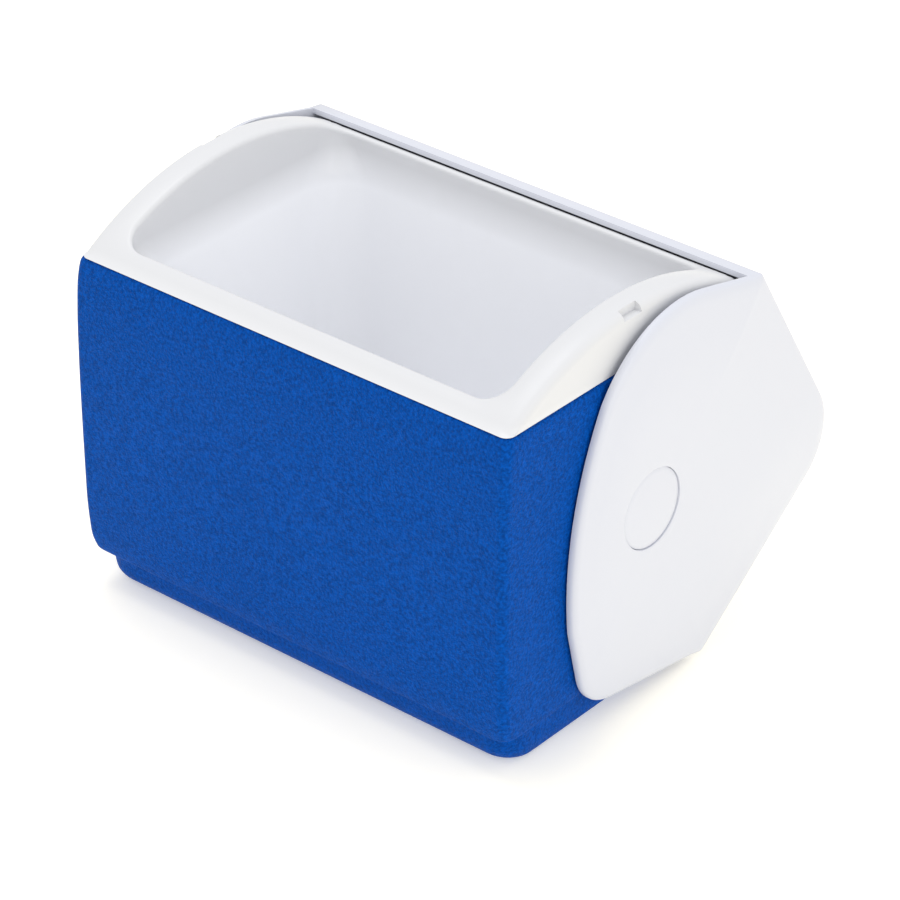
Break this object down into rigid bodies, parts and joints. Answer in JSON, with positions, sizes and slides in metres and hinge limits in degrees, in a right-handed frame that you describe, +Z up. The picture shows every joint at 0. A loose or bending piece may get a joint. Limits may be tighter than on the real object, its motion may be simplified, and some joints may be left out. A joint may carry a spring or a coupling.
{
  "type": "swing-lid cooler chest",
  "caption": "Small insulated cooler chest with a pebbled shell, a pale liner and a tent lid that swings back on two long side arms and latches by a push button in its ridge.",
  "frame": {"origin": "centre of the underside, where the base rests on the floor", "axes": "+X along the length, -Y the front long side, +Z up; the lid is stored swung open to the back (+Y)"},
  "size_m": [0.305, 0.253, 0.2215],
  "materials": {
    "shell_blue": "pebbled blue polypropylene or polyethylene, satin",
    "shell_white": "smooth white plastic, satin to gloss",
    "panel_white": "smooth white sheet plastic",
    "foam": "pale yellow rigid foam",
    "nylon": "off-white moulded nylon",
    "steel": "zinc-plated steel"
  },
  "bodies": {
    "base": {"outer_shell": "shell_blue", "liner": "shell_white", "body_foam": "foam", "pivot_plate_right": "steel", "pivot_plate_left": "steel", "pivot_nut_right": "steel", "pivot_nut_left": "steel", "pivot_pin_right": "nylon", "pivot_pin_left": "nylon", "pivot_washer_right": "nylon", "pivot_washer_left": "nylon"},
    "lid": {"lid_shell": "shell_white", "lid_inner_panel": "panel_white", "lid_foam_rear": "foam", "lid_foam_front": "foam", "pivot_cap_right": "shell_white", "pivot_cap_left": "shell_white", "slide_guide_right": "nylon", "slide_guide_left": "nylon", "latch_spring_right": "steel", "latch_spring_left": "steel"},
    "button": {"push_button": "shell_white"},
    "slide_right": {"latch_slide_right": "nylon"},
    "slide_left": {"latch_slide_left": "nylon"}
  },
  "joints": [
    {"name": "lid_swing", "type": "hinge", "parent": "base", "child": "lid", "pos_m": [0, 0, 0.1165], "axis": [1, 0, 0], "range_deg": [0, 101]},
    {"name": "button_press", "type": "slide", "parent": "lid", "child": "button", "axis": [0, 0.9816, -0.1908], "range_m": [0, 0.005], "stiffness_N_per_m": 300, "springref_m": 0.005},
    {"name": "latch_right", "type": "slide", "parent": "lid", "child": "slide_right", "axis": [-1, 0, 0], "range_m": [0, 0.005], "deforming": ["latch_spring_right"]},
    {"name": "latch_left", "type": "slide", "parent": "lid", "child": "slide_left", "axis": [1, 0, 0], "range_m": [0, 0.005], "deforming": ["latch_spring_left"]}
  ],
  "couplings": [
    {"joint": "latch_right", "follows": "button_press", "ratio": 1},
    {"joint": "latch_left", "follows": "button_press", "ratio": 1}
  ]
}
